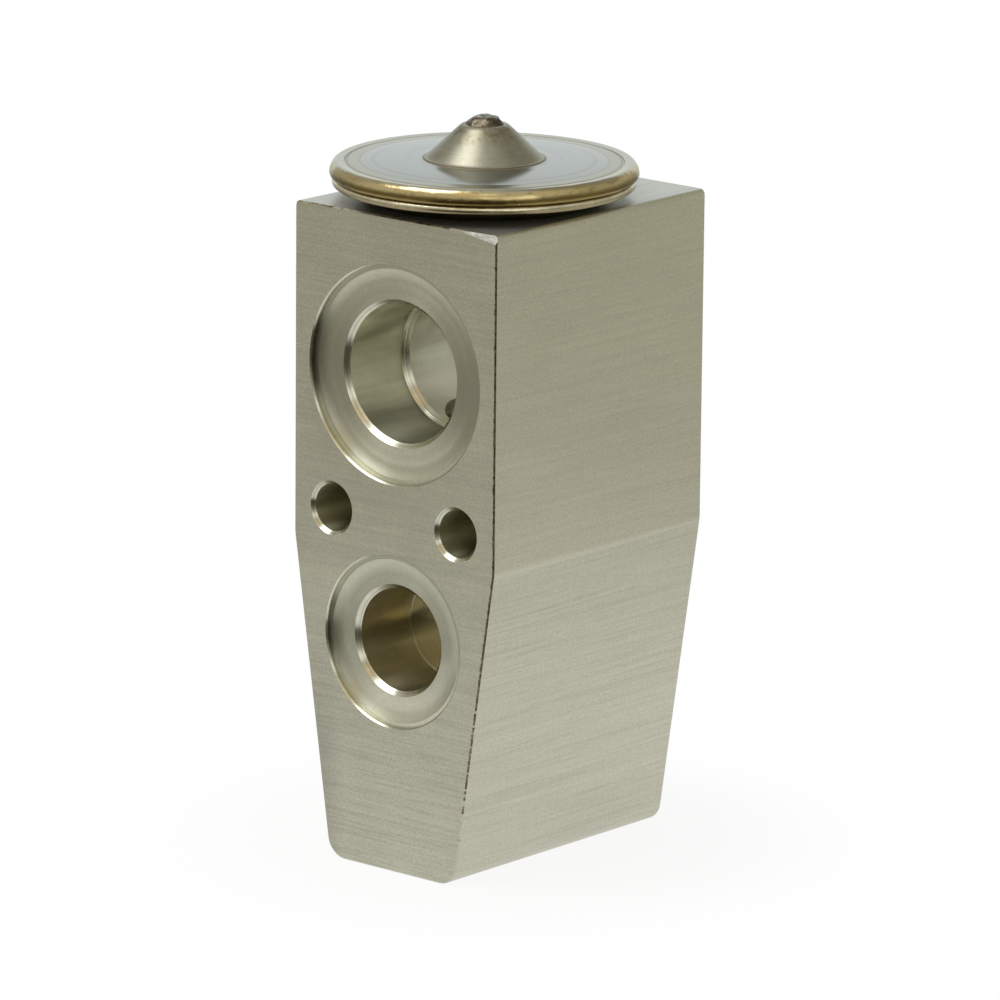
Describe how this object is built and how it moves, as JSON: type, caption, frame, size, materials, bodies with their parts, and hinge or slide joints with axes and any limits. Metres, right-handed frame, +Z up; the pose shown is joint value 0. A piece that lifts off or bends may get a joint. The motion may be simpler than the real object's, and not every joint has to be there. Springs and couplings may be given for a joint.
{
  "type": "block expansion valve",
  "caption": "Tapered aluminium block with suction and liquid ports, bolt holes and a round diaphragm head, over a spring-loaded ball valve set by a screw in its base.",
  "frame": {"origin": "on the valve axis, at the base of the block", "axes": "+Z up the valve axis from the adjusting screw to the head, -Y out of the pipe face with the liquid inlet and the suction outlet, +Y out of the evaporator face"},
  "size_m": [0.0422, 0.0466, 0.1027],
  "materials": {
    "block_aluminium": "extruded and sawn, with turned port recesses",
    "cover_steel": "spun and polished",
    "plug_metal": "upset and heat darkened",
    "weld_gold": "weld bead with gold heat tint",
    "housing_steel": "plated, with a warm tint",
    "thin_steel": "ground stainless steel",
    "rod_aluminium": "turned",
    "turned_brass": "turned",
    "seal_rubber": "moulded"
  },
  "bodies": {
    "block": {"valve_body": "block_aluminium", "head_cover": "cover_steel", "charge_plug": "plug_metal", "rim_weld": "weld_gold", "diaphragm": "thin_steel", "head_housing": "housing_steel", "head_seal_ring": "seal_rubber", "rod_seal_ring": "seal_rubber", "seal_retainer": "thin_steel", "orifice_seat": "thin_steel", "superheat_spring": "thin_steel"},
    "stem": {"diaphragm_pad": "turned_brass", "sensing_rod": "rod_aluminium", "push_rod": "thin_steel", "valve_ball": "thin_steel", "ball_carrier": "turned_brass", "damping_spring": "thin_steel"},
    "screw_seal": {"screw_seal_ring": "seal_rubber"},
    "screw": {"adjusting_screw": "turned_brass"}
  },
  "joints": [
    {"name": "stem_slide", "type": "slide", "parent": "block", "child": "stem", "axis": [0, 0, -1], "range_m": [0, 0.0005], "stiffness_N_per_m": 10000, "deforming": ["superheat_spring", "diaphragm"]},
    {"name": "screw_advance", "type": "slide", "parent": "block", "child": "screw_seal", "axis": [0, 0, 1], "range_m": [-0.0005, 0.0005], "deforming": ["superheat_spring"]},
    {"name": "screw_turn", "type": "hinge", "parent": "screw_seal", "child": "screw", "pos_m": [0, 0, 0.0045], "axis": [0, 0, 1], "range_deg": [-180, 180]}
  ],
  "couplings": [
    {"joint": "screw_turn", "follows": "screw_advance", "rad_per_m": 6283.2}
  ]
}
